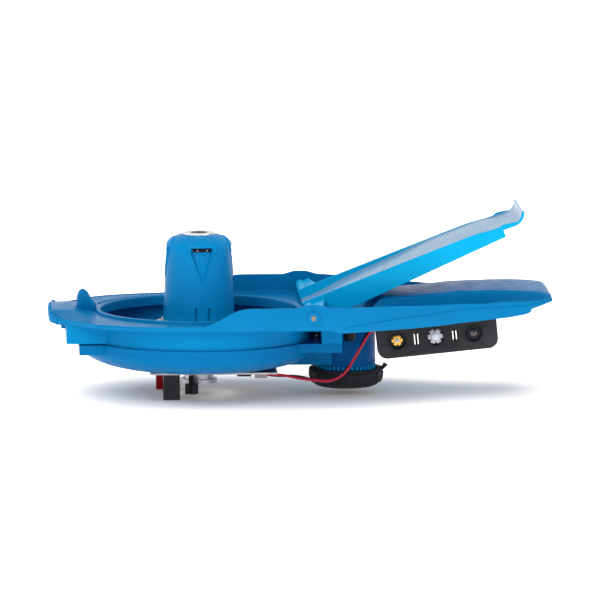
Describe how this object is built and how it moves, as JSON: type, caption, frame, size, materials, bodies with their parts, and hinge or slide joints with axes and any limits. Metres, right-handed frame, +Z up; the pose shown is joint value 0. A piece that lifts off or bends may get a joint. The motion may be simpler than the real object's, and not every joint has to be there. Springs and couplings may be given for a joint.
{
  "type": "pool cleaner deck and motor unit",
  "caption": "Battery pool cleaner deck: round suction basin with a scooped motor tower, hinged tail lid, light bar, battery neck with twist cap.",
  "frame": {"origin": "middle of the unit's footprint box, at the height of its lowest point, the underside of the two terminal blocks", "axes": "+X from the nose to the tail, +Z up out of the basin, +Y to the left of someone looking from nose to tail"},
  "size_m": [0.6155, 0.326, 0.232],
  "materials": {
    "deck_blue": "moulded, satin gloss",
    "tub_blue": "moulded, satin gloss",
    "tower_blue": "moulded, satin gloss",
    "lid_blue": "moulded, satin gloss",
    "neck_blue": "moulded, satin gloss",
    "steel": "stainless",
    "satin_ring": "satin",
    "galvanised": "galvanised sheet",
    "cast_metal": "cast and turned",
    "black_plastic": "moulded",
    "black_rubber": "moulded",
    "red_plastic": "moulded",
    "magnet": "sintered ferrite",
    "copper": "enamelled windings",
    "cell_wrap": "shrink wrap",
    "gold_board": "gilt board",
    "silver_board": "plated board",
    "dark_board": "lacquered board",
    "led_lens": "silicone lens",
    "strip_metal": "bright strip",
    "red_wire": "PVC insulation",
    "black_wire": "PVC insulation"
  },
  "bodies": {
    "chassis": {"deck_shell": "deck_blue", "basin_rim": "deck_blue", "nose_comb": "deck_blue", "nose_hook": "deck_blue", "deck_screws": "steel", "upper_tub": "tub_blue", "lower_tub": "tub_blue", "tub_screws": "steel", "spider_hub": "galvanised", "spider_legs": "galvanised", "spider_screws": "steel", "tower_cover": "tower_blue", "tower_ring": "satin_ring", "button_cup": "black_plastic", "button_spring": "steel", "scoop_mesh": "black_plastic", "motor_can": "steel", "motor_magnets": "magnet", "shaft_seal": "black_rubber", "bearing_housing": "cast_metal", "base_plate": "galvanised", "plate_screws": "steel", "star_nut": "black_plastic", "black_terminal": "black_plastic", "red_terminal": "red_plastic", "terminal_screws": "steel", "foot_block": "black_plastic", "wire_connector": "cast_metal", "battery_neck": "neck_blue", "battery_cells": "cell_wrap", "neck_seal": "black_rubber", "tether_ring": "black_rubber", "cable_gland": "black_plastic", "light_bar": "black_plastic", "bar_screws": "steel", "gold_led_board": "gold_board", "silver_led_board": "silver_board", "dark_led_board": "dark_board", "led_chips": "led_lens", "bar_strips": "strip_metal", "red_wire": "red_wire", "black_wire": "black_wire", "pivot_bushes": "deck_blue", "pivot_screws": "steel"},
    "lid": {"tail_lid": "lid_blue", "lid_wings": "lid_blue", "lid_tubes": "lid_blue"},
    "cap": {"battery_cap": "black_plastic"},
    "impeller": {"impeller": "black_plastic", "motor_shaft": "steel", "motor_rotor": "copper"},
    "button": {"power_button": "black_rubber"}
  },
  "joints": [
    {"name": "lid_hinge", "type": "hinge", "parent": "chassis", "child": "lid", "pos_m": [0.0105, 0, 0.114], "axis": [0, -1, 0], "range_deg": [-14, 60]},
    {"name": "cap_turn", "type": "hinge", "parent": "chassis", "child": "cap", "pos_m": [0.0555, 0, 0.023], "axis": [0, 0, 1], "range_deg": [0, 90]},
    {"name": "impeller_spin", "type": "hinge", "parent": "chassis", "child": "impeller", "pos_m": [-0.1215, 0, 0.053], "axis": [0, 0, 1], "continuous": true},
    {"name": "button_press", "type": "slide", "parent": "chassis", "child": "button", "axis": [0, 0, -1], "range_m": [0, 0.002], "stiffness_N_per_m": 400, "deforming": ["button_spring"]}
  ]
}
